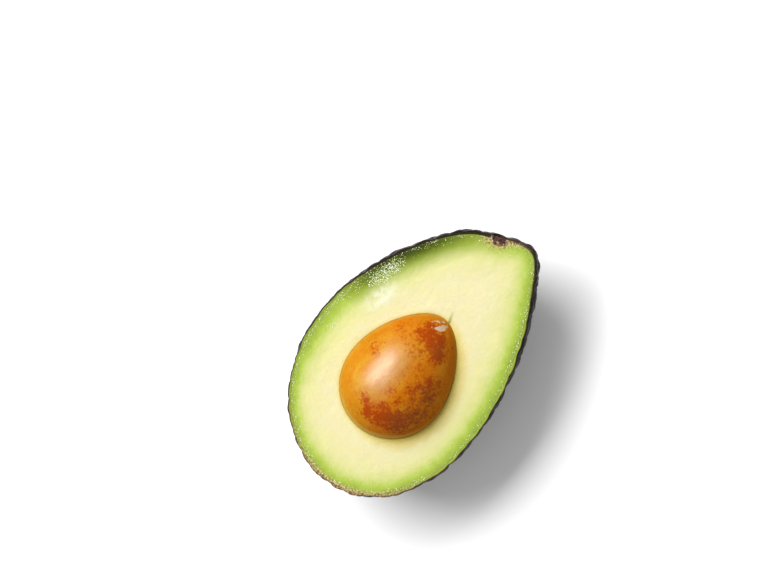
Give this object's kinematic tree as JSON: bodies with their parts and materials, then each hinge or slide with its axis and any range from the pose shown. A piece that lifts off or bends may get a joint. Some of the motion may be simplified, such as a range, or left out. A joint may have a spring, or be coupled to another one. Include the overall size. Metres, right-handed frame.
{
  "type": "avocado half",
  "caption": "Avocado cut lengthwise and lying on its back: pebbled dark skin, green to cream flesh with a hollow, and the loose brown stone that sits in it.",
  "frame": {"origin": "on the surface that the fruit lies on, under the middle of its bounding box", "axes": "+Z out of the level cut face, +Y towards the narrow stalk end, +X to the right of it as seen from above"},
  "size_m": [0.0662, 0.103, 0.044],
  "materials": {
    "skin": "satin",
    "flesh": "satin",
    "stone": "satin",
    "stalk_scar": "matte"
  },
  "bodies": {
    "root": {"skin": "skin", "flesh": "flesh", "stone": "stone", "stalk_scar": "stalk_scar"}
  },
  "joints": []
}
